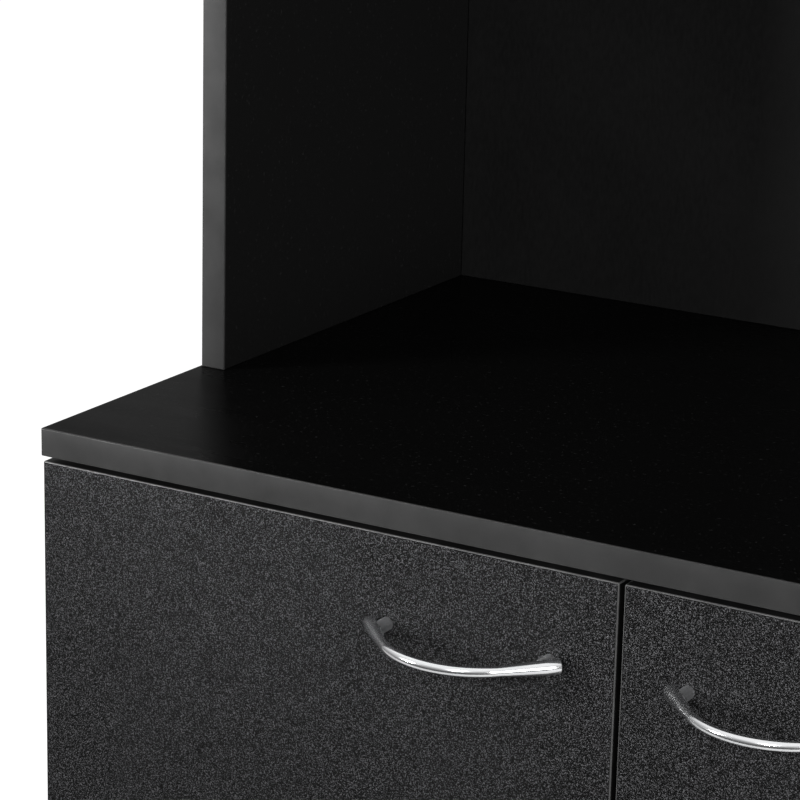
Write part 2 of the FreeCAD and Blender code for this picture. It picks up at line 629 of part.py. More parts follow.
def hinge_plate():
    body = new_body("hinge_plate")
    at = (SIDE_FACE_X, f"{PLATE_MIDDLE_Y} - dims.plate_length / 2", "-dims.plate_width / 2")
    box(body, "bar", "Additive", ("dims.plate_thickness", "dims.plate_length", "dims.plate_width"), at)
    at = (SIDE_FACE_X, f"{PLATE_MIDDLE_Y} - dims.wing_width / 2", "-dims.wing_length / 2")
    box(body, "wings", "Additive", ("dims.plate_thickness", "dims.wing_width", "dims.wing_length"), at)
    return body


cup_master = hinge_cup()
arm_master = hinge_arm()
plate_master = hinge_plate()
DOORS = [
    ("lower", DOOR_FACE, LOWER_DOOR_Z, LOWER_DOOR_HEIGHT, f"({LOWER_DOOR_HEIGHT} - dims.handle_drop)"),
    ("upper", UPPER_FACE, UPPER_DOOR_Z, UPPER_DOOR_HEIGHT, "dims.handle_drop"),
]
hinge_places = []
for level, face, foot, height, handle_z in DOORS:
    for hand in ("left", "right"):
        name = f"{level}_{hand}"
        is_left = hand == "left"
        door_x = LEFT if is_left else f"({LEFT} + {DOOR_WIDTH} + dims.door_gap)"
        door = front_board(f"door_{name}", DOOR_WIDTH, height, door_x, face, foot)
        cup_x = "dims.cup_offset" if is_left else f"({DOOR_WIDTH} - dims.cup_offset)"
        from_free_edge = "(dims.handle_inset + dims.handle_spacing / 2)"
        handle_x = f"({DOOR_WIDTH} - {from_free_edge})" if is_left else from_free_edge
        # On a low door the hinges move towards its ends, to stay clear of the shelf
        most = f"{height} / 2 - dims.wing_length / 2 - dims.board - dims.hinge_shelf_gap"
        hinge_z = f"min(dims.hinge_end; {most})"
        cup_zs = (hinge_z, f"({height} - {hinge_z})")
        turn = UPRIGHT if is_left else FLIPPED
        places = []
        for number, cup_z in enumerate(cup_zs):
            at = (cup_x, "dims.door_board - dims.cup_pocket", cup_z)
            size = ("dims.cup_radius", "dims.cup_pocket")
            prism(door, f"cup_pocket_{number}", "Subtractive", *size, at, ALONG_Y, "dims.cup_sides")
            places.append((f"{door_x} + {cup_x}", f"{face} + dims.door_board", f"{foot} + {cup_z}", turn))
        handle_holes(door, handle_x, handle_z)
        pieces.append(door)
        pieces.append(group(f"hinge_cups_{name}", cup_master, places))
        handle_set(name, f"({door_x} + {handle_x})", face, f"({foot} + {handle_z})")
        hinge_places += places
pieces.append(group("hinge_arms", arm_master, hinge_places))
pieces.append(group("hinge_plates", plate_master, hinge_places))

# Soft bumpers on the front edges of the boards that the doors and the drawer close against
bumper = new_body("bumper")
at = ("-dims.bumper_width / 2", 0, "-dims.bumper_width / 2")
box(bumper, "pad", "Additive", ("dims.bumper_width", "dims.bumper_thickness", "dims.bumper_width"), at)
bumper_places = []
DRAWER_BUMPER_X = f"(-{SIDE_IN} - dims.bumper_inset)"
for front, z, x in (
    (BASE_FRONT, "(dims.plinth_height + dims.board / 2)", "dims.bumper_inset"),
    (HUTCH_FRONT, f"({UPPER_DOOR_Z} + {FLOOR_TOP}) / 2", "dims.bumper_inset"),
    (HUTCH_FRONT, f"({DRAWER_FRONT_Z} + {CEILING} + dims.board) / 2", DRAWER_BUMPER_X),
):
    for side in ("-", ""):
        bumper_places.append((f"{side}{x}", f"{front} - dims.bumper_thickness", z, UPRIGHT))
pieces.append(group("door_bumpers", bumper, bumper_places))

# Drawer: a front, two sides grooved for the rails, a back and a thin bottom
DRAWER_X = f"({SIDE_IN} + dims.drawer_side_gap)"
DRAWER_WIDTH = f"({INNER_WIDTH} - 2 * dims.drawer_side_gap)"
BOX_FRONT = f"({HUTCH_FRONT} - dims.door_clearance)"
BOX_Z = f"({CEILING} + dims.board + dims.drawer_lift)"
RAIL_Z = f"({BOX_Z} + dims.drawer_box_height / 2 - dims.rail_height / 2)"
RAIL_FRONT = f"({HUTCH_FRONT} + dims.rail_setback)"
size = ("dims.width", DRAWER_FRONT_HEIGHT)
drawer_front = front_board("drawer_front", *size, LEFT, UPPER_FACE, DRAWER_FRONT_Z)
drawer_handle_z = f"({DRAWER_FRONT_HEIGHT} / 2)"
handle_holes(drawer_front, "dims.width / 2", drawer_handle_z)
handle_set("drawer", "0", UPPER_FACE, f"({DRAWER_FRONT_Z} + {drawer_handle_z})")
BOTTOM_THICK = "(dims.back_board + 2 * dims.drawer_bottom_slack)"
BOTTOM_SLOT_Z = "(dims.drawer_bottom_lift - dims.drawer_bottom_slack)"
slot_at = (
    f"{DRAWER_X} + dims.drawer_board - dims.drawer_bottom_slot - {LEFT}",
    "dims.door_board - dims.drawer_bottom_slot",
    f"{BOX_Z} + {BOTTOM_SLOT_Z} - {DRAWER_FRONT_Z}",
)
slot_length = f"{DRAWER_WIDTH} - 2 * dims.drawer_board + 2 * dims.drawer_bottom_slot"
size = (slot_length, "dims.drawer_bottom_slot", BOTTOM_THICK)
box(drawer_front, "bottom_slot", "Subtractive", size, slot_at)
pieces.append(drawer_front)


def drawer_side(hand):
    is_left = hand == "left"
    x = DRAWER_X if is_left else f"(-{DRAWER_X} - dims.drawer_board)"
    size = ("dims.drawer_length", "dims.drawer_box_height", "dims.drawer_board")
    body = board(f"drawer_side_{hand}", "YZ_Plane", *size, x, BOX_FRONT, BOX_Z)
    # The groove that runs on the cabinet's rail is closed at the front
    rail_groove = "(dims.rail_engaged + dims.rail_clearance)"
    groove_x = "0" if is_left else f"dims.drawer_board - {rail_groove}"
    groove_y = f"({RAIL_FRONT} - dims.rail_clearance - {BOX_FRONT})"
    groove_z = f"{RAIL_Z} - dims.rail_clearance - {BOX_Z}"
    size = (rail_groove, f"dims.drawer_length - {groove_y}", "dims.rail_height + 2 * dims.rail_clearance")
    box(body, "rail_groove", "Subtractive", size, (groove_x, groove_y, groove_z))
    slot_x = "dims.drawer_board - dims.drawer_bottom_slot" if is_left else "0"
    size = ("dims.drawer_bottom_slot", "dims.drawer_length", BOTTOM_THICK)
    box(body, "bottom_slot", "Subtractive", size, (slot_x, 0, BOTTOM_SLOT_Z))
    return body


pieces += [drawer_side("left"), drawer_side("right")]
bottom_top = "dims.drawer_bottom_lift + dims.back_board"
drawer_back_at = (
    f"({DRAWER_X} + dims.drawer_board)",
    f"({BOX_FRONT} + dims.drawer_length - dims.drawer_board)",
    f"({BOX_Z} + {bottom_top} + dims.drawer_bottom_slack)",
)
drawer_back_rise = f"(dims.drawer_box_height - dims.drawer_back_drop - ({bottom_top}))"
drawer_inside = f"({DRAWER_WIDTH} - 2 * dims.drawer_board)"
size = (drawer_inside, drawer_back_rise, "dims.drawer_board")
pieces.append(board("drawer_back", "XZ_Plane", *size, *drawer_back_at))
bottom_x = f"({DRAWER_X} + dims.drawer_board - dims.drawer_bottom_slot + dims.drawer_bottom_slack)"
bottom_width = f"({drawer_inside} + 2 * dims.drawer_bottom_slot - 2 * dims.drawer_bottom_slack)"
bottom_y = f"({BOX_FRONT} - dims.drawer_bottom_slot + dims.drawer_bottom_slack)"
bottom_depth = f"({BOX_FRONT} + dims.drawer_length - {bottom_y})"
size = (bottom_width, bottom_depth, "dims.back_board")
bottom_at = (bottom_x, bottom_y, f"{BOX_Z} + dims.drawer_bottom_lift")
pieces.append(board("drawer_bottom", "XY_Plane", *size, *bottom_at))

# Rails fixed to the hutch sides, which carry the drawer by its grooves
rail_thickness = "(dims.drawer_side_gap + dims.rail_engaged)"
for hand, x in (("left", SIDE_IN), ("right", f"(-{SIDE_IN} - {rail_thickness})")):
    size = ("dims.rail_length", "dims.rail_height", rail_thickness)
    pieces.append(board(f"drawer_rail_{hand}", "YZ_Plane", *size, x, RAIL_FRONT, RAIL_Z))

# Angle brackets on the top panel, flush with its rear edge, for screws into the wall
bracket = new_body("bracket")
at = ("-dims.bracket_width / 2", "-dims.bracket_foot", 0)
box(bracket, "foot", "Additive", ("dims.bracket_width", "dims.bracket_foot", "dims.bracket_thickness"), at)
at = ("-dims.bracket_width / 2", "-dims.bracket_thickness", 0)
box(bracket, "rise", "Additive", ("dims.bracket_width", "dims.bracket_thickness", "dims.bracket_rise"), at)
at = (0, "-dims.bracket_thickness", "dims.bracket_hole_rise")
size = ("dims.bracket_hole_radius", "dims.bracket_thickness")
cylinder(bracket, "wall_hole", "Subtractive", *size, at, ALONG_Y)
bracket_places = [(f"{side}dims.bracket_pitch / 2", REAR, "dims.height", UPRIGHT) for side in ("-", "")]
pieces.append(group("tip_brackets", bracket, bracket_places))

# Every object has to be sound before anything is written
doc.recompute()
faults = [thing.Name for thing in doc.Objects if {"Invalid", "Error"} & set(thing.State)]
faults += [piece.Label for piece in pieces if piece.Shape.isNull() or not piece.Shape.isValid()]
if faults:
    raise RuntimeError("failed objects: " + ", ".join(faults))
for piece in pieces:
    piece.Shape.exportStep(f"parts/{piece.Label}.step")
    print(piece.Label, len(piece.Shape.Solids), round(piece.Shape.Volume))
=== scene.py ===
# Kitchen pantry cabinet: the finished pieces, materials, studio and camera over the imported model.
# Metres, in the model's frame: X to the right, Y to the back, Z up from the floor.
import json
import math

import bpy
from mathutils import Matrix, Vector


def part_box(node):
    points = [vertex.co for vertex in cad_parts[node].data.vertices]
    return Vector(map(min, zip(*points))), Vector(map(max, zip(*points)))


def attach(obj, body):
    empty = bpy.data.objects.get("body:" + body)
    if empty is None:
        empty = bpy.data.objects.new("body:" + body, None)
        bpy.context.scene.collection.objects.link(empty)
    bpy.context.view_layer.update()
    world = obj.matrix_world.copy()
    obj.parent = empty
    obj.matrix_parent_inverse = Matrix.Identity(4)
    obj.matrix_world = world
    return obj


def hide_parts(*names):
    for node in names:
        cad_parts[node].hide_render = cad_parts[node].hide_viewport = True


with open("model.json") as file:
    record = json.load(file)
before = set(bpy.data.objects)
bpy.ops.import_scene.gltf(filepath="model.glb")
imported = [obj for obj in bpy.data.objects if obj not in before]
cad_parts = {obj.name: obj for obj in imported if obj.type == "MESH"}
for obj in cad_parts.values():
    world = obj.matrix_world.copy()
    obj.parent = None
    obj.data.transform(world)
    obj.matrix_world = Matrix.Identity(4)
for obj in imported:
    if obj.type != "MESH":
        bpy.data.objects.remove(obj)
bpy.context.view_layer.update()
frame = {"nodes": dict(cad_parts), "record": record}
BODY_OF = {node: body for body, nodes in frame["record"]["behaviour"]["bodies"].items() for node in nodes}

MM = 0.001
X, Y, Z = Vector((1, 0, 0)), Vector((0, 1, 0)), Vector((0, 0, 1))

# Sizes that the model's boxes don't give
BAND = 1.0 * MM  # thickness of the edge band
EASED = 0.7 * MM  # rounding of a banded edge
PANEL_EASED = 0.3 * MM  # and of a hardboard panel's edge
PIN_PITCH = 32 * MM
PIN_HOLE_RADIUS = 2.5 * MM
PIN_HOLE_DEPTH = 10 * MM
CAM_RADIUS = 7.4 * MM
CAM_POCKET_RADIUS = 7.65 * MM
GROOVE = 5 * MM
GROOVE_DEPTH = 6 * MM
CUP_RADIUS = 17.5 * MM
CUP_POCKET = 12 * MM
SCREW_HOLE_RADIUS = 2.3 * MM
SLACK = Vector((0.2, 0.2, 0.2)) * MM  # round a panel or a rail in its groove


# Shader maths


class Signal:
    """A shader socket that takes part in Python sums."""

    def __init__(self, socket):
        self.socket = socket

    def maths(self, operation, *others):
        tree = self.socket.id_data
        node = tree.nodes.new("ShaderNodeMath")
        node.operation = operation
        for slot, value in zip(node.inputs, others):
            connect(slot, value)
        return Signal(node.outputs[0])

    def __add__(self, other):
        return self.maths("ADD", self, other)

    def __radd__(self, other):
        return self.maths("ADD", other, self)

    def __sub__(self, other):
        return self.maths("SUBTRACT", self, other)

    def __mul__(self, other):
        return self.maths("MULTIPLY", self, other)


def connect(slot, value):
    """Links a signal to a socket, or sets the socket to a constant."""
    if isinstance(value, Signal):
        slot.id_data.links.new(value.socket, slot)
    else:
        slot.default_value = value


class Nodes:
    """Makes shader nodes in one tree."""

    def __init__(self, owner):
        owner.use_nodes = True
        self.tree = owner.node_tree
        self.tree.nodes.clear()

    def node(self, kind, settings=(), out=0, values=(), **named):
        """Makes a node: its settings first, then values or links by socket index or name."""
        node = self.tree.nodes.new("ShaderNode" + kind)
        for key, value in dict(settings).items():
            if key == "stops":
                ramp = node.color_ramp
                while len(ramp.elements) < len(value):
                    ramp.elements.new(1)
                for element, (position, colour) in zip(ramp.elements, value):
                    element.position = position
                    element.color = colour
            else:
                setattr(node, key, value)
        for socket, value in [*dict(values).items(), *named.items()]:
            name = socket.replace("_", " ") if isinstance(socket, str) else socket
            connect(node.inputs[name], value)
        return Signal(node.outputs[out]) if node.outputs else node

    def between(self, signal, low, high, to_low=0.0, to_high=1.0):
        """Maps a signal's stretch from low to high onto another, and clamps it."""
        return self.node("MapRange", values={0: signal, 1: low, 2: high, 3: to_low, 4: to_high})

    def background_rays(self, glossy=1.0):
        """1 for rays from the camera or through glass, and a share for rays off a mirror."""
        camera, mirror, glass = (
            self.node("LightPath", out=f"Is {kind} Ray") for kind in ("Camera", "Glossy", "Transmission")
        )
        return camera + mirror * glossy + glass


class Finish(Nodes):
    """A material being mixed for one of the cabinet's surfaces."""

    def __init__(self, name, **constants):
        self.material = bpy.data.materials.new(name)
        super().__init__(self.material)
        self.shader = self.tree.nodes.new("ShaderNodeBsdfPrincipled")
        output = self.tree.nodes.new("ShaderNodeOutputMaterial")
        self.tree.links.new(self.shader.outputs[0], output.inputs[0])
        for socket, value in constants.items():
            self.shader.inputs[socket.replace("_", " ")].default_value = value
        self.place = self.node("TexCoord", out="Object")

    def noise(self, scale, detail=2.0, roughness=0.5, stretch=None):
        place = self.place if stretch is None else self.node("Mapping", Vector=self.place, Scale=stretch)
        return self.node("TexNoise", Vector=place, Scale=scale, Detail=detail, Roughness=roughness)

    def cells(self, scale):
        return self.node("TexVoronoi", out="Distance", Vector=self.place, Scale=scale)

    def blend(self, factor, dark, light):
        return self.node("Mix", {"data_type": "RGBA"}, 2, {0: factor, 6: dark, 7: light})

    def bump(self, height, strength, depth):
        return self.node("Bump", Strength=strength, Distance=depth, Height=height)

    def paint(self, **signals):
        """Feeds the signals to the shader and gives the finished material."""
        for socket, value in signals.items():
            connect(self.shader.inputs[socket.replace("_", " ")], value)
        return self.material


def grey(value, blue=1.0):
    """A grey, with more blue above 1."""
    return (value, value, value * blue, 1.0)


def pebbled_laminate():
    """The doors' face: black with a fine orange-peel grain; bright specks painted into its colour stand for
    glints of light on the grain.
    """
    f = Finish("pebbled_black_laminate", Specular_IOR_Level=0.1)
    peel = f.noise(1250, 2.0, 0.6)
    grit = f.noise(2500, 1.0)
    wear = f.noise(7, 3.0, 0.6)
    grain = peel * 0.65 + grit * 0.35
    # The bright specks are painted glints of light on the grain, not a colour of the laminate
    painted_glint = f.between(grain, 0.54, 0.62)
    colour = f.blend(painted_glint, grey(0.0006, 1.04), grey(0.075, 1.05))
    rough = f.between(wear, 0.3, 0.7, 0.28, 0.38)
    return f.paint(Base_Color=colour, Roughness=rough, Normal=f.bump(grain, 1.0, 0.00045))


def smooth_laminate(name, tone):
    """The boards' faces: black melamine with a faint texture, dust and rub marks."""
    f = Finish(name, Specular_IOR_Level=0.014)
    texture = f.noise(900, 2.0)
    rub = f.noise(9, 4.0, 0.62, (1.0, 3.0, 1.0))
    dust = f.between(f.noise(420, 1.0), 0.66, 0.76)
    colour = f.blend(dust * 0.3, grey(tone), grey(0.04))
    rough = f.between(rub, 0.3, 0.7, 0.2, 0.34)
    return f.paint(Base_Color=colour, Roughness=rough, Normal=f.bump(texture, 0.12, 0.00008))


def edge_band(name, dark, light, specular):
    """The PVC band on the boards' edges: a little greyer and smoother than the faces."""
    f = Finish(name, Specular_IOR_Level=specular)
    ripple = f.noise(300, 2.0, 0.5, (1.0, 1.0, 3.0))
    streak = f.noise(40, 3.0, 0.6)
    colour = f.blend(f.between(streak, 0.35, 0.65), grey(dark), grey(light))
    rough = f.between(ripple, 0.35, 0.65, 0.34, 0.44)
    return f.paint(Base_Color=colour, Roughness=rough, Normal=f.bump(ripple, 0.12, 0.0001))


def black_hardboard():
    """The back panels and the drawer's bottom: painted hardboard with a faint fibre."""
    f = Finish("black_hardboard", Specular_IOR_Level=0.03)
    fibre = f.noise(500, 3.0, 0.6, (1.0, 1.0, 0.35))
    cloud = f.noise(6, 3.0, 0.6)
    colour = f.blend(f.between(fibre * 0.5 + cloud * 0.5, 0.38, 0.62), grey(0.0045), grey(0.0068))
    rough = f.between(cloud, 0.3, 0.7, 0.5, 0.6)
    return f.paint(Base_Color=colour, Roughness=rough, Normal=f.bump(fibre, 0.2, 0.0001))


def particleboard():
    """Raw board inside the drilled holes and grooves: pressed chips of mixed browns."""
    f = Finish("particleboard_core", Specular_IOR_Level=0.2)
    chips = f.cells(700)
    tone = f.noise(260, 2.0)
    colour = f.blend(f.between(tone, 0.35, 0.65), (0.11, 0.072, 0.04, 1), (0.3, 0.21, 0.125, 1))
    rough = f.between(chips, 0.0, 0.8, 0.75, 0.9)
    return f.paint(Base_Color=colour, Roughness=rough, Normal=f.bump(chips, 0.5, 0.0003))


def chrome(name, smoothest, roughest):
    """Chrome plate with finger smears and fine scratches."""
    f = Finish(name, Metallic=1.0)
    smear = f.noise(55, 3.0, 0.6)
    scratch = f.noise(240, 2.0, 0.5, (0.15, 1.0, 1.0))
    colour = f.blend(f.between(smear, 0.35, 0.7), (0.86, 0.865, 0.875, 1), (0.8, 0.81, 0.825, 1))
    rough = f.between(smear * 0.7 + scratch * 0.3, 0.35, 0.65, smoothest, roughest)
    return f.paint(Base_Color=colour, Roughness=rough, Normal=f.bump(scratch, 0.02, 0.00005))


def nickel_plate():
    """Screws, pins and hinges: warm grey plate with a faint grain along Z."""
    f = Finish("nickel_plated_steel", Metallic=1.0)
    grain = f.noise(700, 2.0, 0.5, (1.0, 1.0, 0.25))
    tint = f.noise(60, 2.0)
    colour = f.blend(f.between(tint, 0.35, 0.65), (0.56, 0.55, 0.52, 1), (0.68, 0.67, 0.64, 1))
    rough = f.between(grain, 0.3, 0.7, 0.22, 0.36)
    return f.paint(Base_Color=colour, Roughness=rough, Normal=f.bump(grain, 0.08, 0.00005))


def cast_zinc():
    """The cams: dull metal with small pits."""
    f = Finish("cast_zinc", Metallic=0.9)
    pits = f.cells(900)
    tint = f.noise(90, 2.0)
    colour = f.blend(f.between(tint, 0.35, 0.65), (0.36, 0.36, 0.37, 1), (0.5, 0.5, 0.5, 1))
    rough = f.between(pits, 0.0, 0.7, 0.5, 0.38)
    return f.paint(Base_Color=colour, Roughness=rough, Normal=f.bump(pits, 0.25, 0.0001))


def moulded_plastic():
    """The glides and the drawer's rails."""
    f = Finish("black_moulded_plastic", Specular_IOR_Level=0.4)
    grain = f.noise(1300, 2.0)
    scuff = f.noise(80, 3.0, 0.6)
    colour = f.blend(f.between(scuff, 0.55, 0.75), grey(0.014), grey(0.035))
    rough = f.between(grain, 0.3, 0.7, 0.42, 0.56)
    return f.paint(Base_Color=colour, Roughness=rough, Normal=f.bump(grain, 0.2, 0.00008))


def soft_pad():
    """The bumpers: clear soft plastic, a little cloudy."""
    f = Finish("soft_clear_pad", Specular_IOR_Level=0.5, IOR=1.45)
    cloud = f.noise(420, 2.0)
    colour = f.blend(f.between(cloud, 0.3, 0.7), (0.6, 0.6, 0.57, 1), (0.74, 0.74, 0.72, 1))
    rough = f.between(cloud, 0.3, 0.7, 0.16, 0.28)
    return f.paint(Base_Color=colour, Roughness=rough, Normal=f.bump(cloud, 0.05, 0.0001))


def beech():
    """The pegs: pale wood with its grain along X."""
    f = Finish("beech_peg", Specular_IOR_Level=0.3)
    grain = f.noise(260, 3.0, 0.6, (0.12, 1.0, 1.0))
    colour = f.blend(f.between(grain, 0.3, 0.7), (0.42, 0.27, 0.14, 1), (0.62, 0.44, 0.26, 1))
    rough = f.between(grain, 0.3, 0.7, 0.55, 0.7)
    return f.paint(Base_Color=colour, Roughness=rough, Normal=f.bump(grain, 0.3, 0.0001))


PEBBLED = pebbled_laminate()
SMOOTH = smooth_laminate("smooth_black_laminate", 0.0095)
# The worktop is the boards' own laminate made darker: painted shade for the little light its top gets
WORKTOP_SHADED = smooth_laminate("shaded_worktop_laminate", 0.0025)
EDGE = edge_band("black_edge_band", 0.0205, 0.0265, 0.135)
# The fronts' edge band is darkened as painted shade, so the gap under the worktop stays black
DOOR_BAND_SHADED = edge_band("shaded_door_edge_band", 0.004, 0.007, 0.05)
# A lighter, shinier finish for the fronts' eased corners: a painted highlight line along their edges
ARRIS_HIGHLIGHT = edge_band("painted_highlight_arris", 0.04, 0.06, 0.4)
HARDBOARD = black_hardboard()
CORE = particleboard()
CHROME = chrome("polished_chrome", 0.1, 0.17)
SATIN = chrome("satin_chrome", 0.36, 0.44)
NICKEL = nickel_plate()
ZINC = cast_zinc()
PLASTIC = moulded_plastic()
PAD = soft_pad()
BEECH = beech()


# Modelling helpers


def only(*objects):
    """Selects these objects alone and makes the first one active."""
    bpy.ops.object.select_all(action="DESELECT")
    for obj in objects:
        obj.select_set(True)
    bpy.context.view_layer.objects.active = objects[0]
    return objects[0]


def finished(obj=None):
    """Leaves an object at the origin, unturned and unscaled, with its place in its mesh."""
    obj = only(obj or bpy.context.object)
    bpy.ops.object.transform_apply(location=True, rotation=True, scale=True)
    return obj


def block(low, high):
    """A plain box from its lowest corner to its highest."""
    size = Vector(high) - Vector(low)
    bpy.ops.object.select_all(action="DESELECT")
    bpy.ops.mesh.primitive_cube_add(size=1, location=(Vector(high) + Vector(low)) / 2)
    bpy.context.object.scale = size
    return finished()


def rod(start, end, radius, sides=32):
    """A plain round bar from one point to another."""
    start, end = Vector(start), Vector(end)
    along = end - start
    bpy.ops.object.select_all(action="DESELECT")
    bpy.ops.mesh.primitive_cylinder_add(
        vertices=sides,
        radius=radius,
        depth=along.length,
        location=(start + end) / 2,
        rotation=along.to_track_quat("Z", "Y").to_euler(),
    )
    return finished()


def edit(obj, mode="VERT"):
    """Opens an object's mesh for modelling with nothing selected."""
    only(obj)
    bpy.ops.object.mode_set(mode="EDIT")
    bpy.ops.mesh.select_mode(type=mode)
    bpy.ops.mesh.select_all(action="DESELECT")


def done(obj):
    """Leaves mesh editing."""
    bpy.ops.object.mode_set(mode="OBJECT")
    return obj


def round_edges(obj, width, wanted=lambda centre, along: True, segments=3):
    """Rounds the edges that wanted() picks by their centre and their direction and length."""
    edit(obj, "EDGE")
    bpy.ops.object.mode_set(mode="OBJECT")
    mesh = obj.data
    for edge in mesh.edges:
        start, end = (mesh.vertices[i].co for i in edge.vertices)
        edge.select = wanted((start + end) / 2, end - start)
    bpy.ops.object.mode_set(mode="EDIT")
    bpy.ops.mesh.bevel(offset=width, offset_type="OFFSET", segments=segments, profile=0.5, affect="EDGES")
    return done(obj)


def edges_at(height):
    """Picks the edges that lie at this height."""
    return lambda centre, along: centre.z > height * 0.99


def join(*objects):
    """Makes one object of several, under the first one's name."""
    only(*objects)
    if len(objects) > 1:
        bpy.ops.object.join()
    return bpy.context.object


def carve(obj, tools, operation="DIFFERENCE"):
    """Cuts tools out of a piece, or welds them to it; a cut face takes the tool's finish."""
    tool = join(*tools)
    modifier = obj.modifiers.new("carve", "BOOLEAN")
    modifier.operation = operation
    modifier.solver = "EXACT"
    modifier.material_mode = "TRANSFER"
    modifier.use_self = len(tools) > 1
    modifier.object = tool
    only(obj)
    bpy.ops.object.modifier_apply(modifier=modifier.name)
    bpy.data.objects.remove(tool)
    return obj


def coat(obj, finish):
    """Gives one finish to a whole object."""
    obj.data.materials.clear()
    obj.data.materials.append(finish)
    return obj


def refinish(obj, finish, wanted):
    """Gives another finish to the faces that wanted() picks by their centre and normal."""
    obj.data.materials.append(finish)
    slot = len(obj.data.materials) - 1
    for face in obj.data.polygons:
        if wanted(face.center, face.normal):
            face.material_index = slot


def smooth(obj, angle=35):
    """Shades an object smooth up to this angle in degrees."""
    only(obj)
    bpy.ops.object.shade_smooth_by_angle(angle=math.radians(angle))
    return obj


def copy_of(obj, name, matrix):
    """A copy with its own mesh, moved within the mesh."""
    new = obj.copy()
    new.data = obj.data.copy()
    new.name = name
    bpy.context.scene.collection.objects.link(new)
    new.data.transform(matrix)
    return new


def fit(obj, name, node):
    """Names a piece, lets it stand for a node of the model and move with its body."""
    obj.name = name
    obj.data.name = name
    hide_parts(node)
    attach(obj, BODY_OF[node])


def solids(node):
    """The boxes of a node's separate solids, sorted by place."""
    source = frame["nodes"][node]
    probe = source.copy()
    probe.data = source.data.copy()
    probe.parent = None
    bpy.context.scene.collection.objects.link(probe)
    edit(probe)
    bpy.ops.mesh.select_all(action="SELECT")
    bpy.ops.mesh.remove_doubles(threshold=0.00001)
    bpy.ops.mesh.separate(type="LOOSE")
    bpy.ops.object.mode_set(mode="OBJECT")
    boxes = []
    for part in list(bpy.context.selected_objects):
        points = [vertex.co for vertex in part.data.vertices]
        low = Vector([min(p[i] for p in points) for i in range(3)])
        high = Vector([max(p[i] for p in points) for i in range(3)])
        boxes.append((low, high))
        bpy.data.objects.remove(part)
    return sorted(boxes, key=lambda box: tuple(round(part, 4) for part in middle(box)))


def middle(box):
    return (box[0] + box[1]) / 2


# Boards

SIDES = {"left": (0, -1), "right": (0, 1), "front": (1, -1), "back": (1, 1), "bottom": (2, -1), "top": (2, 1)}


def end_of(box, side):
    """Where a box ends on one side."""
    axis, way = SIDES[side]
    return box[1 if way > 0 else 0][axis]


def depth_below(point, box, side):
    """How far a point lies inside one side of a box."""
    axis, way = SIDES[side]
    return (end_of(box, side) - point[axis]) * way


def is_slanted(centre, normal):
    return max(abs(part) for part in normal) < 0.99


def board(node, face, bands=(), cuts=(), eased=EASED, band=EDGE):
    """A board cut to the model's box, banded on some edges, with every corner eased."""
    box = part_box(node)
    piece = coat(block(*box), face)
    for side in bands:
        axis, way = SIDES[side]
        across = Vector([float(i == axis) for i in range(3)])
        edit(piece)
        bpy.ops.mesh.select_all(action="SELECT")
        bpy.ops.mesh.bisect(plane_co=across * (end_of(box, side) - way * BAND), plane_no=across)
        done(piece)

    def on_band(centre, normal):
        return min(depth_below(centre, box, side) for side in bands) < BAND

    def on_corner(centre, along):
        return sum(abs(depth_below(centre, box, side)) < 0.01 * MM for side in SIDES) >= 2

    round_edges(piece, eased, on_corner)
    if bands:
        refinish(piece, band, on_band)
    # On the fronts, the eased corners take the lighter arris finish: a painted highlight
    if band is DOOR_BAND_SHADED:
        refinish(piece, ARRIS_HIGHLIGHT, is_slanted)
    if cuts:
        carve(piece, [cut if cut.data.materials else coat(cut, CORE) for cut in cuts])
    fit(smooth(piece), f"{node}_board", node)


pins = solids("shelf_pins")
cams = solids("cam_locks")


def side_cuts(node, back):
    """The pin holes, cam pockets and back panel's groove in the inner face of a side panel."""
    low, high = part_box(node)
    is_left = middle((low, high)).x < 0
    face, inward = (high.x, -1) if is_left else (low.x, 1)

    def hole(y, z, radius, depth):
        return rod((face - inward * MM, y, z), (face + inward * depth, y, z), radius)

    def mine(box):
        centre = middle(box)
        return (centre.x < 0) == is_left and low.z < centre.z < high.z

    cuts = []
    for pin in filter(mine, pins):
        centre = middle(pin)
        for step in (-1, 0, 1):
            cuts.append(hole(centre.y, centre.z + step * PIN_PITCH, PIN_HOLE_RADIUS, PIN_HOLE_DEPTH))
    for cam in filter(mine, cams):
        centre = middle(cam)
        cuts.append(hole(centre.y, centre.z, CAM_POCKET_RADIUS, cam[1].x - cam[0].x))
    back_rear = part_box(back)[1].y
    groove_x = sorted((face - inward * MM, face + inward * GROOVE_DEPTH))
    groove = block((groove_x[0], back_rear - GROOVE, low.z - MM), (groove_x[1], back_rear, high.z + MM))
    # The groove's walls take the black hardboard finish instead of raw board: painted shade for the deep,
    # unlit slit
    cuts.append(coat(groove, HARDBOARD))
    return cuts


for level in ("base", "hutch"):
    for hand in ("left", "right"):
        node = f"{level}_side_{hand}"
        board(node, SMOOTH, ("front",), side_cuts(node, f"{level}_back"))

board("countertop", WORKTOP_SHADED, ("front", "left", "right"))
board("top_panel", SMOOTH, ("front", "left", "right"))
for node in ("bay_ceiling", "cupboard_floor", "base_shelf", "cupboard_shelf"):
    board(node, SMOOTH, ("front",))
board("plinth", SMOOTH, ("bottom",))
bottom_low, bottom_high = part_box("base_bottom")
slot_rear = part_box("base_back")[1].y
bottom_slot = block(
    (bottom_low.x - MM, slot_rear - GROOVE, bottom_high.z - GROOVE_DEPTH),
    (bottom_high.x + MM, slot_rear, bottom_high.z + MM),
)
board("base_bottom", SMOOTH, ("front",), [bottom_slot])
board("base_back", HARDBOARD, eased=PANEL_EASED)
board("hutch_back", HARDBOARD, eased=PANEL_EASED)


# Doors and drawer

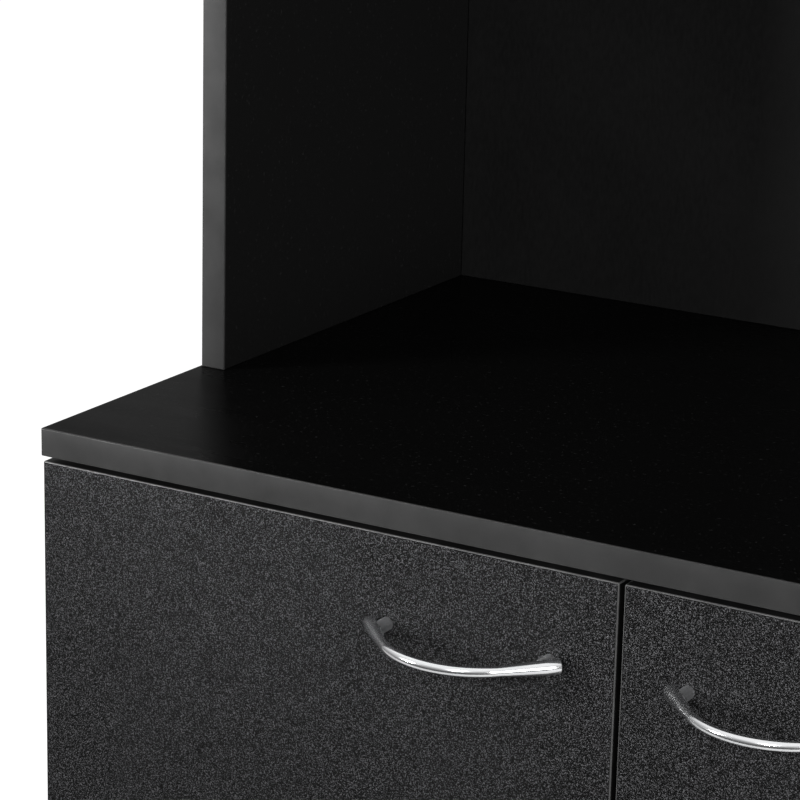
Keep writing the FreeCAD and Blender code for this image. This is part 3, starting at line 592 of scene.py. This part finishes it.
DOORS = ("lower_left", "lower_right", "upper_left", "upper_right")
FRONTS = {name: f"door_{name}" for name in DOORS}
FRONTS["drawer"] = "drawer_front"
ALL_EDGES = ("left", "right", "bottom", "top")


def screw_holes(name):
    """The clearance holes of a front's handle screws."""
    low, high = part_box(FRONTS[name])
    holes = []
    for box in solids(f"handle_screws_{name}"):
        x, z = middle(box).x, middle(box).z
        holes.append(rod((x, low.y - MM, z), (x, high.y + MM, z), SCREW_HOLE_RADIUS))
    return holes


panel_low, panel_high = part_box("drawer_bottom")
for name, node in FRONTS.items():
    low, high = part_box(node)
    cuts = screw_holes(name)
    if name == "drawer":
        slot_high = Vector((panel_high.x, high.y + MM, panel_high.z)) + SLACK
        cuts.append(block(panel_low - SLACK, slot_high))
    else:
        for box in solids(f"hinge_cups_{name}"):
            x, z = middle(box).x, middle(box).z
            cuts.append(rod((x, high.y - CUP_POCKET, z), (x, high.y + MM, z), CUP_RADIUS, 64))
    board(node, PEBBLED, ALL_EDGES, cuts, band=DOOR_BAND_SHADED)

for hand in ("left", "right"):
    node = f"drawer_side_{hand}"
    low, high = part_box(node)
    rail_low, rail_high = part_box(f"drawer_rail_{hand}")
    groove_low = rail_low - SLACK
    groove_high = Vector((rail_high.x, high.y + MM, rail_high.z)) + SLACK
    if hand == "left":
        slot_left, slot_right = panel_low.x - SLACK.x, high.x + MM
    else:
        groove_high.x = high.x + MM
        slot_left, slot_right = low.x - MM, panel_high.x + SLACK.x
    slot = block(
        (slot_left, low.y - MM, panel_low.z - SLACK.z),
        (slot_right, high.y + MM, panel_high.z + SLACK.z),
    )
    board(node, SMOOTH, ("top",), [block(groove_low, groove_high), slot])
board("drawer_back", SMOOTH, ("top",))
board("drawer_bottom", HARDBOARD, eased=PANEL_EASED)


# Small fittings, each modelled once and copied


def cross_head(radius, height):
    """A round nickel screw head with a cross recess, standing up from the origin."""
    head = rod((0, 0, 0), (0, 0, height), radius)
    round_edges(head, height * 0.55, edges_at(height), 4)
    arm, slot, deep = radius * 0.55, radius * 0.13, height * 0.45
    tools = [
        block((-arm, -slot, deep), (arm, slot, height + MM)),
        block((-slot, -arm, deep), (slot, arm, height + MM)),
    ]
    return smooth(coat(carve(coat(head, NICKEL), [coat(tool, NICKEL) for tool in tools]), NICKEL))


def placed(master, places, name):
    """One piece from copies of a master; each place is a point and the direction of the master's Z."""
    copies = []
    for point, way in places:
        turn = Vector(way).to_track_quat("Z", "Y").to_matrix().to_4x4()
        copies.append(copy_of(master, name, Matrix.Translation(point) @ turn))
    bpy.data.objects.remove(master)
    return join(*copies)


def from_sides(boxes):
    """Where each fitting starts in its side panel, and its direction into the cabinet."""
    places = []
    for box in boxes:
        centre = middle(box)
        is_left = centre.x < 0
        start = box[0].x if is_left else box[1].x
        places.append(((start, centre.y, centre.z), X if is_left else -X))
    return places


def shelf_pin():
    """A round pin along Z with rounded ends."""
    low, high = pins[0]
    length, radius = high.x - low.x, (high.z - low.z) / 2
    bar = rod((0, 0, 0), (0, 0, length), radius, 24)
    round_edges(bar, radius * 0.35, lambda centre, along: abs(along.z) < length / 2, 3)
    return smooth(coat(bar, NICKEL))


fit(placed(shelf_pin(), from_sides(pins), "shelf_pins"), "shelf_pin_set", "shelf_pins")


def cam_lock():
    """A cam along Z: a disc with a rim, a cross recess and the mark that shows its way in."""
    low, high = cams[0]
    length = high.x - low.x
    disc = rod((0, 0, 0), (0, 0, length), CAM_RADIUS, 40)
    round_edges(disc, 0.5 * MM, edges_at(length), 2)
    top, arm, slot, deep = length + MM, 3.4 * MM, 0.7 * MM, length - 2.2 * MM
    tools = [
        block((-arm, -slot, deep), (arm, slot, top)),
        block((-slot, -arm, deep), (slot, arm, top)),
        block((4.6 * MM, -0.6 * MM, length - 0.5 * MM), (6.6 * MM, 0.6 * MM, top)),
    ]
    return smooth(coat(carve(coat(disc, ZINC), [coat(tool, ZINC) for tool in tools]), ZINC))


fit(placed(cam_lock(), from_sides(cams), "cam_locks"), "cam_lock_set", "cam_locks")

glide_pads = []
for box in solids("glides"):
    pad = block(*box)
    round_edges(pad, 1.2 * MM, lambda centre, along: centre.z < 0.1 * MM or abs(along.z) > MM, 4)
    glide_pads.append(smooth(coat(pad, PLASTIC)))
fit(join(*glide_pads), "glide_pads", "glides")

bumper_boxes = solids("door_bumpers")
bumper_low, bumper_high = bumper_boxes[0]
bumper_depth = bumper_high.y - bumper_low.y
dome = rod((0, 0, 0), (0, 0, bumper_depth), (bumper_high.x - bumper_low.x) / 2)
round_edges(dome, 1.1 * MM, edges_at(bumper_depth), 5)
dome_places = [((middle(box).x, box[1].y, middle(box).z), -Y) for box in bumper_boxes]
fit(placed(smooth(coat(dome, PAD)), dome_places, "door_bumpers"), "bumper_domes", "door_bumpers")

# Rails: a bar with eased corners and three countersunk screws
SINK_RADIUS = 3.4 * MM
SINK_DEPTH = 2.2 * MM
SINK_SHARES = (0.12, 0.5, 0.88)

for hand in ("left", "right"):
    node = f"drawer_rail_{hand}"
    low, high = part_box(node)
    face, out = (high.x, -1) if hand == "left" else (low.x, 1)
    floor = face + out * SINK_DEPTH
    z = middle((low, high)).z
    spots = [low.y + (high.y - low.y) * share for share in SINK_SHARES]
    rail = coat(round_edges(block(low, high), 0.8 * MM), PLASTIC)
    sinks = [rod((face - out * MM, y, z), (floor, y, z), SINK_RADIUS, 24) for y in spots]
    carve(rail, [coat(sink, PLASTIC) for sink in sinks])
    heads = placed(cross_head(3.0 * MM, 1.8 * MM), [((floor, y, z), X * -out) for y in spots], node)
    fit(join(smooth(rail), heads), f"{node}_bar", node)

# Wall brackets
BRACKET_THICKNESS = 2 * MM
BRACKET_CORNER = 5 * MM
BRACKET_BEND = 1.8 * MM
WALL_HOLE_RADIUS = 2.75 * MM
WALL_HOLE_HEIGHT = 13 * MM
BRACKET_SCREW = 11 * MM  # from the bracket's front end


def wall_bracket(low, high):
    """A bent strip with rounded ends, the wall hole and a screw down into the top panel."""
    x = (low.x + high.x) / 2
    strip_top = low.z + BRACKET_THICKNESS

    def on_free_end(centre, along):
        on_side = abs(abs(centre.x - x) - (high.x - x)) < MM
        return abs(along.x) < MM and on_side and (centre.z > high.z - MM or centre.y < low.y + MM)

    def on_bend(centre, along):
        lowest_rear = centre.y > high.y - 0.1 * MM and centre.z < low.z + 0.1 * MM
        return abs(along.x) > 5 * MM and lowest_rear

    strip = block(low, (high.x, high.y, strip_top))
    carve(strip, [block((low.x, high.y - BRACKET_THICKNESS, low.z), high)], "UNION")
    round_edges(strip, BRACKET_CORNER, on_free_end, 5)
    round_edges(strip, BRACKET_BEND, on_bend, 4)
    coat(strip, NICKEL)
    hole_z = low.z + WALL_HOLE_HEIGHT
    wall_hole = rod((x, low.y, hole_z), (x, high.y + MM, hole_z), WALL_HOLE_RADIUS)
    carve(strip, [coat(wall_hole, NICKEL)])
    screw_place = (x, low.y + BRACKET_SCREW, strip_top)
    head = placed(cross_head(3.6 * MM, 2.0 * MM), [(screw_place, Z)], "bracket_screw")
    return join(smooth(strip), head)


brackets = [wall_bracket(*box) for box in solids("tip_brackets")]
fit(join(*brackets), "wall_bracket_pair", "tip_brackets")


# Handles

BOW_RADIUS = 48.3 * MM  # of the bar's middle line
BOW_ANGLE = math.radians(45.4)
LEG_RADIUS = 487 * MM
LEG_ANGLE = math.radians(3.6)
REACH = 41.1 * MM  # from the door's face to the middle line
MIDDLE_RADIUS = 2.8 * MM
TIP_RADIUS = 4.4 * MM
TIP_ROUNDING = 0.9 * MM
LEG_STEPS = 4
POST_X = 48 * MM
POST_RADIUS = 3.6 * MM
SHANK_RADIUS = 1.95 * MM
HANDLE_SCREW_RADIUS = 4 * MM


def bow_handle():
    """The bar is spun from its middle, spun on in a wider bow, mirrored, and stands on two posts."""
    centre = Vector((0, BOW_RADIUS - REACH, 0))
    down = Vector((math.sin(BOW_ANGLE), -math.cos(BOW_ANGLE), 0))
    leg_centre = centre + down * (BOW_RADIUS - LEG_RADIUS)
    bpy.ops.object.select_all(action="DESELECT")
    bpy.ops.mesh.primitive_circle_add(
        vertices=40, radius=MIDDLE_RADIUS, location=(0, -REACH, 0), rotation=(0, math.radians(90), 0)
    )
    bar = finished()
    bpy.ops.object.mode_set(mode="EDIT")
    bpy.ops.mesh.select_all(action="SELECT")
    bpy.ops.mesh.spin(steps=16, angle=BOW_ANGLE, center=centre, axis=-Z)
    radius = MIDDLE_RADIUS
    for step in range(1, LEG_STEPS + 1):
        turn = BOW_ANGLE + LEG_ANGLE * step / LEG_STEPS
        at = leg_centre + Vector((math.sin(turn), -math.cos(turn), 0)) * LEG_RADIUS
        wide = MIDDLE_RADIUS + (TIP_RADIUS - MIDDLE_RADIUS) * step / LEG_STEPS
        bpy.ops.mesh.spin(steps=1, angle=LEG_ANGLE / LEG_STEPS, center=leg_centre, axis=-Z)
        bpy.ops.transform.resize(value=(wide / radius,) * 3, center_override=at)
        radius = wide
    tip, outward = at, Vector((math.cos(turn), math.sin(turn), 0))
    for angle in (math.radians(30), math.radians(60), math.radians(90)):
        next_at = tip + outward * TIP_ROUNDING * math.sin(angle)
        wide = TIP_RADIUS - TIP_ROUNDING + TIP_ROUNDING * math.cos(angle)
        bpy.ops.mesh.extrude_region_move(TRANSFORM_OT_translate={"value": next_at - at})
        bpy.ops.transform.resize(value=(wide / radius,) * 3, center_override=next_at)
        at, radius = next_at, wide
    bpy.ops.mesh.edge_face_add()
    done(bar)
    mirror = bar.modifiers.new("other_half", "MIRROR")
    mirror.merge_threshold = 0.01 * MM
    only(bar)
    bpy.ops.object.modifier_apply(modifier=mirror.name)
    edit(bar)
    bpy.ops.mesh.select_all(action="SELECT")
    bpy.ops.mesh.remove_doubles(threshold=0.005 * MM)
    bpy.ops.mesh.normals_make_consistent(inside=False)
    coat(done(bar), CHROME)
    post_turn = math.asin((POST_X - leg_centre.x) / LEG_RADIUS)
    post_end = leg_centre.y - LEG_RADIUS * math.cos(post_turn)
    for side in (-1, 1):
        post = rod((side * POST_X, 0, 0), (side * POST_X, post_end, 0), POST_RADIUS, 40)
        carve(bar, [coat(post, SATIN)], "UNION")
    return smooth(bar, 40)


handle_master = bow_handle()
for name, node in FRONTS.items():
    low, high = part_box(f"handle_{name}")
    place = Matrix.Translation(((low.x + high.x) / 2, high.y, (low.z + high.z) / 2))
    fit(copy_of(handle_master, f"bow_handle_{name}", place), f"bow_handle_{name}", f"handle_{name}")
    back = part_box(node)[1].y
    screws = []
    for box in solids(f"handle_screws_{name}"):
        x, z = middle(box).x, middle(box).z
        shank = rod((x, box[0].y, z), (x, back + 0.1 * MM, z), SHANK_RADIUS, 24)
        head = placed(cross_head(HANDLE_SCREW_RADIUS, box[1].y - back), [((x, back, z), Y)], "head")
        screws += [smooth(coat(shank, NICKEL)), head]
    fit(join(*screws), f"handle_screw_pair_{name}", f"handle_screws_{name}")
bpy.data.objects.remove(handle_master)


# Cup hinges: the origin is the cup's middle on the door's back, X to its free edge and Y out of the door

PIVOT = Vector((-14, -8, 0)) * MM
PIN_RADIUS = 1.0 * MM
PIN_HALF = Z * 8.4 * MM
EYE_RADIUS = 2.0 * MM
EYE_HALF = Z * 2.5 * MM
BORE_RADIUS = 1.25 * MM  # round the pin
BORE_HALF = Z * 6 * MM
CUP_OUTER = 17.3 * MM
CUP_DEPTH = 11.5 * MM
CUP_WALL = 0.8 * MM
FLANGE_THICKNESS = 1.2 * MM
FLANGE_X, FLANGE_Z = 8 * MM, 30 * MM  # half of its width and height
CUP_SCREW_Z = 24 * MM
SIDE_FACE = -3.5 * MM  # the side panel's inner face
PLATE_THICKNESS = 2.8 * MM
PLATE_MIDDLE = 40 * MM
PLATE_Y, PLATE_Z = 18 * MM, 7 * MM  # half of its length and height
WING_THICKNESS = 1.6 * MM
WING_Y, WING_Z = 5.5 * MM, 22 * MM
WING_SCREW_Z = 16 * MM
ARM_THICKNESS = 2.2 * MM
ARM_WIDTH = 9 * MM
ARM_END = 58 * MM
ARM_SCREWS = (38 * MM, 51 * MM)


def hinge_cup():
    """A pressed cup with a rounded floor and a flange on two screws, and the pin across it."""
    cup = rod((0, -CUP_DEPTH, 0), (0, 1.0 * MM, 0), CUP_OUTER, 64)
    round_edges(cup, 2.2 * MM, lambda centre, along: centre.y < -CUP_DEPTH * 0.99, 5)
    flange = block((-FLANGE_X, 0, -FLANGE_Z), (FLANGE_X, FLANGE_THICKNESS, FLANGE_Z))
    round_edges(flange, 7 * MM, lambda centre, along: abs(along.y) > MM, 8)
    round_edges(flange, 0.5 * MM, lambda centre, along: centre.y > FLANGE_THICKNESS * 0.96, 2)
    carve(cup, [flange], "UNION")
    floor = CUP_WALL - CUP_DEPTH
    hollow = rod((0, floor, 0), (0, 3 * MM, 0), CUP_OUTER - CUP_WALL, 64)
    round_edges(hollow, 1.6 * MM, lambda centre, along: centre.y < floor * 0.99, 4)
    carve(cup, [hollow])
    pin = rod(PIVOT - PIN_HALF, PIVOT + PIN_HALF, PIN_RADIUS, 24)
    tops = [((0, FLANGE_THICKNESS, side * CUP_SCREW_Z), Y) for side in (-1, 1)]
    heads = placed(cross_head(3.2 * MM, 1.3 * MM), tops, "cup_screws")
    return join(smooth(coat(cup, NICKEL)), smooth(coat(pin, NICKEL)), heads)


def hinge_arm():
    """A cranked arm: an eye round the pin, a foot across the cup and a slotted lever to the plate."""
    lever_x = SIDE_FACE + PLATE_THICKNESS
    half, half_width = ARM_THICKNESS / 2, ARM_WIDTH / 2

    def on_crank(centre, along):
        return abs(along.z) > 5 * MM and centre.x > lever_x + half and centre.y < PIVOT.y

    arm = block((lever_x, PIVOT.y - half, -half_width), (lever_x + ARM_THICKNESS, ARM_END, half_width))
    foot = block((PIVOT.x, PIVOT.y - half, -half_width), (lever_x + half, PIVOT.y + half, half_width))
    eye = rod(PIVOT - EYE_HALF, PIVOT + EYE_HALF, EYE_RADIUS)
    carve(arm, [foot], "UNION")
    carve(arm, [eye], "UNION")
    round_edges(arm, 1.0 * MM, on_crank, 4)
    slot = block((lever_x + 0.9 * MM, 20 * MM, -1.6 * MM), (lever_x + 3 * MM, 31 * MM, 1.6 * MM))
    bore = rod(PIVOT - BORE_HALF, PIVOT + BORE_HALF, BORE_RADIUS, 24)
    carve(arm, [slot])
    carve(arm, [bore])
    tops = [((lever_x + ARM_THICKNESS, y, 0), X) for y in ARM_SCREWS]
    heads = placed(cross_head(2.9 * MM, 1.2 * MM), tops, "arm_screws")
    return join(smooth(coat(arm, NICKEL)), heads)


def hinge_plate():
    """A winged plate screwed to the side, with a raised bar that carries the arm."""
    bar_top, wing_top = SIDE_FACE + PLATE_THICKNESS, SIDE_FACE + WING_THICKNESS
    bar = block((SIDE_FACE, PLATE_MIDDLE - PLATE_Y, -PLATE_Z), (bar_top, PLATE_MIDDLE + PLATE_Y, PLATE_Z))
    round_edges(bar, 2.5 * MM, lambda centre, along: abs(along.x) > MM, 5)
    wings = block((SIDE_FACE, PLATE_MIDDLE - WING_Y, -WING_Z), (wing_top, PLATE_MIDDLE + WING_Y, WING_Z))
    round_edges(wings, 4.5 * MM, lambda centre, along: abs(along.x) > MM, 6)
    carve(bar, [wings], "UNION")
    tops = [((wing_top, PLATE_MIDDLE, side * WING_SCREW_Z), X) for side in (-1, 1)]
    heads = placed(cross_head(3.4 * MM, 1.2 * MM), tops, "plate_screws")
    return join(smooth(coat(bar, NICKEL)), heads)


cup_master, arm_master, plate_master = hinge_cup(), hinge_arm(), hinge_plate()
arms, plates = [], []
for name in DOORS:
    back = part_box(FRONTS[name])[1].y
    flip = Matrix() if name.endswith("left") else Matrix.Rotation(math.pi, 4, "Y")
    cups = []
    for box in solids(f"hinge_cups_{name}"):
        place = Matrix.Translation((middle(box).x, back, middle(box).z)) @ flip
        cups.append(copy_of(cup_master, "cup", place))
        arms.append(copy_of(arm_master, "arm", place))
        plates.append(copy_of(plate_master, "plate", place))
    fit(join(*cups), f"cup_pair_{name}", f"hinge_cups_{name}")
fit(join(*arms), "hinge_arm_set", "hinge_arms")
fit(join(*plates), "hinge_plate_set", "hinge_plates")
for master in (cup_master, arm_master, plate_master):
    bpy.data.objects.remove(master)

# Two nodes of the model keep their own mesh
for node, finish in (("cam_bolts", NICKEL), ("dowels", BEECH)):
    coat(frame["nodes"][node], finish)


# Studio

FLOOR_FRONT = -1.0  # the pale floor ends here, and the chrome sees the dim room beyond it
FLOOR_WIDTH = 12
FLOOR_DEPTH = 8
FLOOR_GLOW = 0.85  # what lifts the seen floor to white
FLOOR_MIRRORED = 0.2  # the share of that glow which metal sees
AMBIENT = 0.25
MIRRORED = ((0.0, 0.1), (0.4, 0.12), (0.49, 0.3), (0.575, 0.3), (0.85, 1.0))  # from straight down to overhead

bpy.ops.object.select_all(action="DESELECT")
bpy.ops.mesh.primitive_plane_add(size=1, location=(0, FLOOR_FRONT + FLOOR_DEPTH / 2, 0))
studio_floor = bpy.context.object
studio_floor.name = "studio_floor"
studio_floor.scale = (FLOOR_WIDTH, FLOOR_DEPTH, 1)
finished(studio_floor)


def floor_finish():
    """Pale matt floor; the camera sees it white, with the cabinet's shadow."""
    f = Finish("pale_studio_floor", Roughness=0.9, Specular_IOR_Level=0.1, Emission_Strength=1.0)
    mottle = f.noise(3, 3.0)
    colour = f.blend(f.between(mottle, 0.3, 0.7), grey(0.72), grey(0.76))
    glow = f.blend(f.background_rays(FLOOR_MIRRORED), grey(0.0), grey(FLOOR_GLOW))
    return f.paint(Base_Color=colour, Emission_Color=glow)


coat(studio_floor, floor_finish())


def studio_world():
    """White to the camera; metal sees it white overhead and dim below the horizon; a soft even fill."""
    world = bpy.data.worlds.new("studio")
    w = Nodes(world)
    height = w.node("SeparateXYZ", out="Z", Vector=w.node("TexCoord", out="Generated"))
    stops = [(place, grey(tone)) for place, tone in MIRRORED]
    overhead = w.node("ValToRGB", {"stops": stops}, Fac=w.between(height, -1.0, 1.0))
    camera_ray = w.node("LightPath", out="Is Camera Ray")
    glossy_ray = w.node("LightPath", out="Is Glossy Ray")
    strength = AMBIENT + camera_ray * (1 - AMBIENT) + glossy_ray * (overhead - AMBIENT)
    surface = w.node("Background", Color=grey(1.0), Strength=strength)
    w.node("OutputWorld", Surface=surface)
    return world


bpy.context.scene.world = studio_world()


def softbox(name, place, target, size, watts, spread):
    """A square soft light aimed at a point; a narrow spread keeps its light near that point."""
    light = bpy.data.lights.new(name, "AREA")
    light.size = size
    light.energy = watts
    light.spread = math.radians(spread)
    lamp = bpy.data.objects.new(name, light)
    bpy.context.scene.collection.objects.link(lamp)
    lamp.location = place
    lamp.rotation_euler = (Vector(target) - Vector(place)).to_track_quat("-Z", "Y").to_euler()


# The last two numbers are the power in watts and the spread in degrees
softbox("main_softbox", (0.5, -3.0, 1.95), (0, -0.1, 0.95), 0.3, 85, 180)
softbox("side_softbox", (-1.7, -1.5, 1.35), (-0.4, -0.2, 1.15), 0.5, 5, 30)
softbox("fill_softbox", (2.4, -1.6, 1.1), (-0.1, -0.1, 1.0), 1.2, 30, 180)
softbox("rear_softbox", (0, 1.6, 0.9), (0, 0.2, 0.9), 0.3, 10, 180)

# Camera, solved from the photograph

SENSOR_WIDTH = 36
LENS_PIXELS = 3082.53
FRAME_PIXELS = 800
YAW, PITCH, ROLL = (math.radians(angle) for angle in (30.33, 16.29, -1.30))
EYE = Vector((0.6295, -1.4988, 1.2927))

camera_data = bpy.data.cameras.new("camera")
camera_data.sensor_width = SENSOR_WIDTH
camera_data.lens = SENSOR_WIDTH * LENS_PIXELS / FRAME_PIXELS
camera_data.clip_start, camera_data.clip_end = 0.05, 50
camera = bpy.data.objects.new("camera", camera_data)
bpy.context.scene.collection.objects.link(camera)
ahead = Vector((-math.sin(YAW) * math.cos(PITCH), math.cos(YAW) * math.cos(PITCH), -math.sin(PITCH)))
level = Vector((math.cos(YAW), math.sin(YAW), 0))
below = ahead.cross(level)
right = math.cos(ROLL) * level + math.sin(ROLL) * below
down = math.cos(ROLL) * below - math.sin(ROLL) * level
camera.matrix_world = Matrix.Translation(EYE) @ Matrix((right, -down, -ahead)).transposed().to_4x4()
bpy.context.scene.camera = camera

bpy.context.scene.view_settings.view_transform = "Standard"
